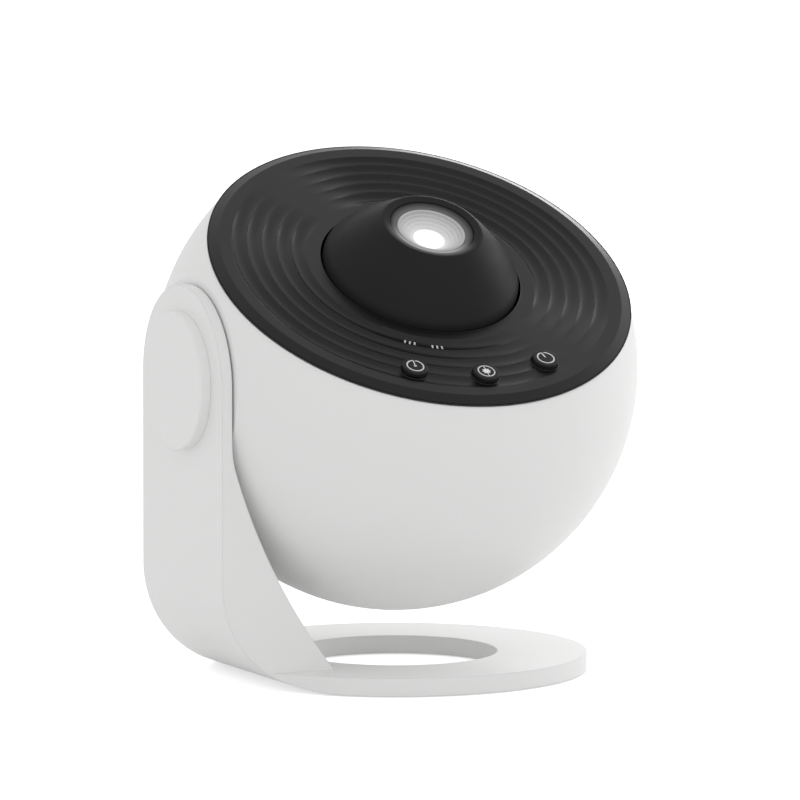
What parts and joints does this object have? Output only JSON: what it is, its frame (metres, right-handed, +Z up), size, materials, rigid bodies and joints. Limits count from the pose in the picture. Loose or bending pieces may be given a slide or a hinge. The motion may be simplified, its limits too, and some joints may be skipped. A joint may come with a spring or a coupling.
{
  "type": "planetarium projector",
  "caption": "White ball on a one-sided arm rising from a ring base, leaning forward, with a black rippled cover, a conical focus hood and push buttons.",
  "frame": {"origin": "on the table, under the centre of the ball and of the ring base", "axes": "+X along the pivot axis, from the arm to the ball's free side; -Y to the front, where the lens leans; +Z up"},
  "size_m": [0.1404, 0.1412, 0.1481],
  "materials": {
    "white_shell": "fine matte white moulding",
    "black_cover": "matte black moulding",
    "black_hood": "matte black moulding",
    "button_black": "matte black caps with white printed marks",
    "grey_barrel": "pale moulding that reflects the lamp",
    "dark_inner": "black inner moulding",
    "lens_glass": "clear polished lens",
    "film": "dark picture disc",
    "steel": "plain steel",
    "sink_metal": "bare aluminium",
    "rubber": "black rubber",
    "nylon": "natural nylon",
    "board_green": "coated circuit board",
    "switch_black": "black switch cases",
    "lamp_yellow": "lamp with a yellow coating",
    "pinion_white": "white acetal",
    "jack_black": "black socket"
  },
  "bodies": {
    "stand": {"stand_frame": "white_shell", "base_weight": "steel", "base_foot": "rubber", "pivot_cap": "white_shell", "spring_washer": "steel"},
    "head": {"ball_shell": "white_shell", "top_cover": "black_cover", "retaining_plate": "steel", "pivot_screw": "steel", "pivot_hub": "nylon", "hub_screws": "steel", "friction_washer": "nylon", "control_board": "board_green", "button_switches": "switch_black", "board_screws": "steel", "deck": "dark_inner", "deck_screws": "steel", "disc_motor": "steel", "lamp_tube": "dark_inner", "tube_screws": "steel", "condenser_lens": "lens_glass", "heat_sink": "sink_metal", "lamp_board": "board_green", "lamp": "lamp_yellow", "lens_guide": "dark_inner", "power_jack": "jack_black"},
    "hood": {"focus_hood": "black_hood"},
    "lens_unit": {"lens_barrel": "grey_barrel", "front_lens": "lens_glass", "lens_spacer": "dark_inner", "rear_lens": "lens_glass", "lens_ring": "dark_inner"},
    "disc": {"disc_carrier": "dark_inner", "picture_disc": "film", "disc_clip": "steel"},
    "pinion": {"motor_pinion": "pinion_white", "motor_shaft": "steel"},
    "timer_key": {"timer_button": "button_black"},
    "light_key": {"light_button": "button_black"},
    "power_key": {"power_button": "button_black"}
  },
  "joints": [
    {"name": "ball_tilt", "type": "hinge", "parent": "stand", "child": "head", "pos_m": [0, 0, 0.088], "axis": [1, 0, 0], "continuous": true},
    {"name": "hood_turn", "type": "hinge", "parent": "head", "child": "hood", "pos_m": [0, -0.0175, 0.11831], "axis": [0, -0.5, 0.866], "range_deg": [-45, 45]},
    {"name": "lens_focus", "type": "slide", "parent": "head", "child": "lens_unit", "axis": [0, -0.5, 0.866], "range_m": [-0.00145, 0.00145]},
    {"name": "disc_spin", "type": "hinge", "parent": "head", "child": "disc", "pos_m": [0, -0.0065, 0.09926], "axis": [0, -0.5, 0.866], "continuous": true},
    {"name": "pinion_spin", "type": "hinge", "parent": "head", "child": "pinion", "pos_m": [0, 0.02576, 0.11788], "axis": [0, -0.5, 0.866], "continuous": true},
    {"name": "timer_press", "type": "slide", "parent": "head", "child": "timer_key", "axis": [0, 0.5, -0.866], "range_m": [0, 0.0008], "stiffness_N_per_m": 500, "springref_m": -0.001},
    {"name": "light_press", "type": "slide", "parent": "head", "child": "light_key", "axis": [0, 0.5, -0.866], "range_m": [0, 0.0008], "stiffness_N_per_m": 500, "springref_m": -0.001},
    {"name": "power_press", "type": "slide", "parent": "head", "child": "power_key", "axis": [0, 0.5, -0.866], "range_m": [0, 0.0008], "stiffness_N_per_m": 500, "springref_m": -0.001}
  ],
  "couplings": [
    {"joint": "lens_focus", "follows": "hood_turn", "m_per_rad": -0.0017825},
    {"joint": "pinion_spin", "follows": "disc_spin", "ratio": -4.2857}
  ]
}
